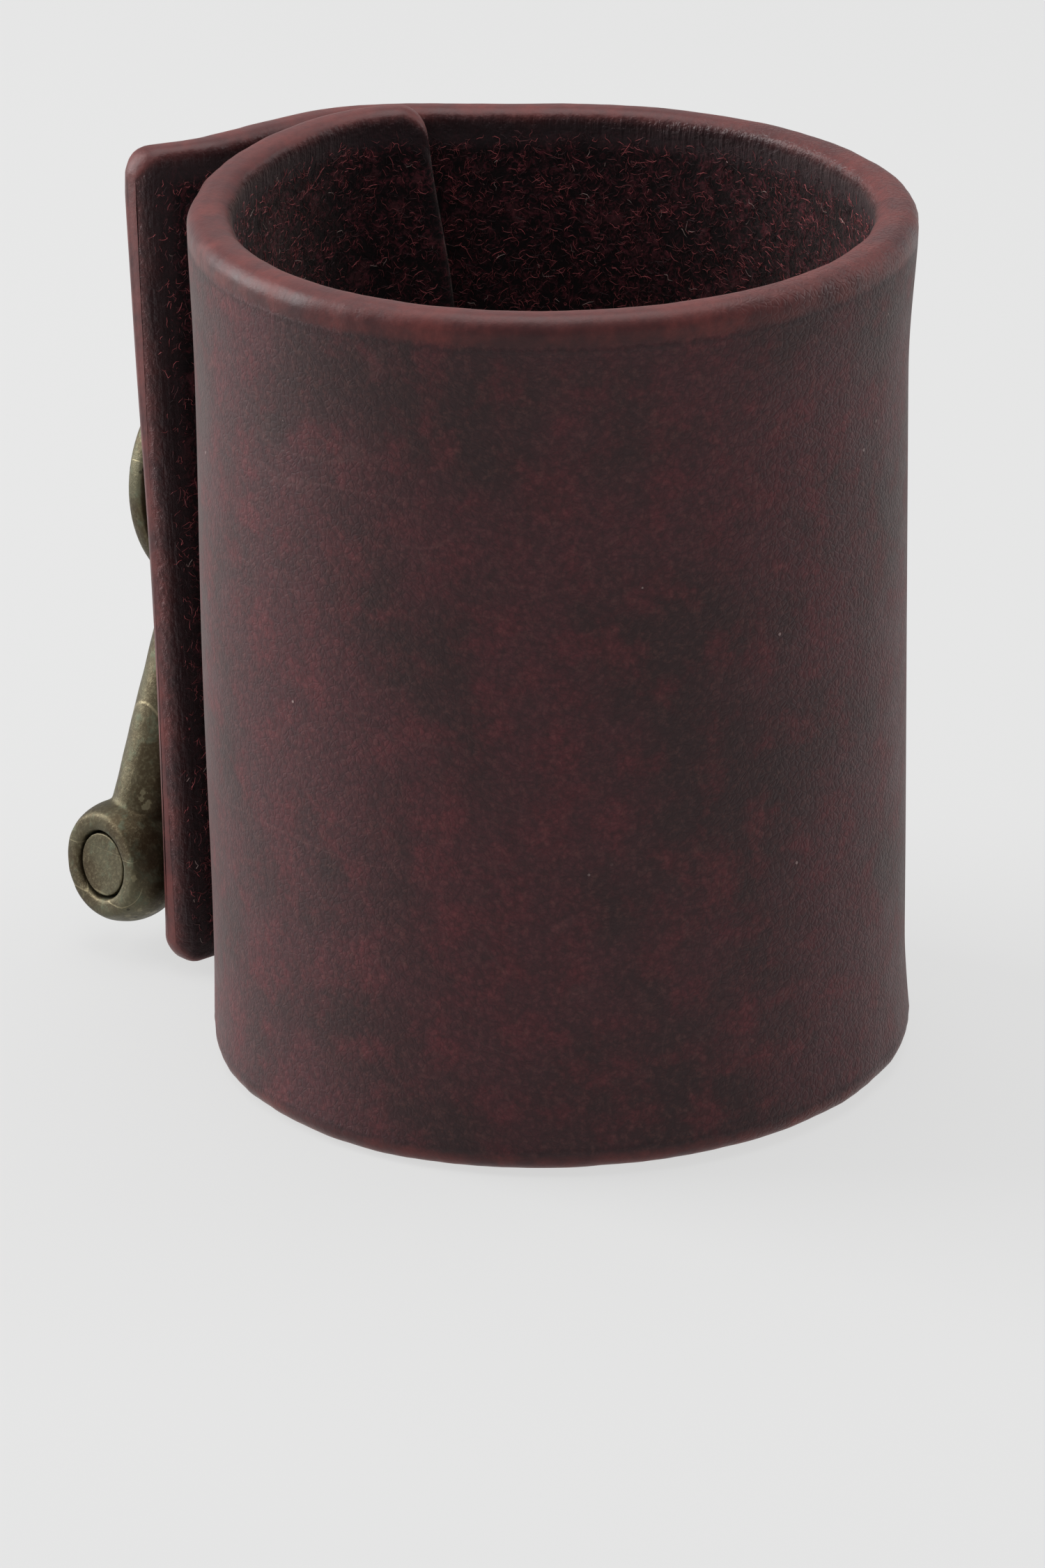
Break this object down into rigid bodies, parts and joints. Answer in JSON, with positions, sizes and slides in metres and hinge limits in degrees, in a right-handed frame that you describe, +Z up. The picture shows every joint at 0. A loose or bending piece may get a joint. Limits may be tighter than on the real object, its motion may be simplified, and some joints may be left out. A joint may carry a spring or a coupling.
{
  "type": "leather roll sleeve",
  "caption": "Open sleeve rolled from one thick leather strip, lapped and held by a mushroom stud, with a swinging shackle on the stud's neck.",
  "frame": {"origin": "bottom centre of the whole object's box, on the plane it stands on; the sleeve's axis is 9.2 mm behind it, at Y = -0.0092", "axes": "+Z up along the sleeve; +Y outward along the stud, at the lap; the flap's free end points to -X"},
  "size_m": [0.0644, 0.0828, 0.0802],
  "materials": {
    "wrap_leather": "waxed pull-up leather, burnished edges, napped inside",
    "antique_brass": "antiqued, satin, brown-green patina",
    "bush_brass": "plain turned brass, worn bright",
    "screw_steel": "blackened steel"
  },
  "bodies": {
    "wrap": {"leather_wrap": "wrap_leather", "flap_washer": "antique_brass", "inner_washer": "antique_brass", "stud_core": "antique_brass", "cap_base": "antique_brass", "cap_shell": "antique_brass", "stud_screw": "antique_brass"},
    "bush": {"neck_bush": "bush_brass"},
    "shackle": {"shackle_bow": "antique_brass", "shackle_pin": "antique_brass", "pin_set_screw": "screw_steel"}
  },
  "joints": [
    {"name": "shackle_swing", "type": "hinge", "parent": "wrap", "child": "shackle", "pos_m": [0.0014, 0.0318, 0.04375], "axis": [0, 1, 0], "continuous": true},
    {"name": "bush_turn", "type": "hinge", "parent": "wrap", "child": "bush", "pos_m": [0.0014, 0.0318, 0.04375], "axis": [0, 1, 0], "continuous": true}
  ]
}
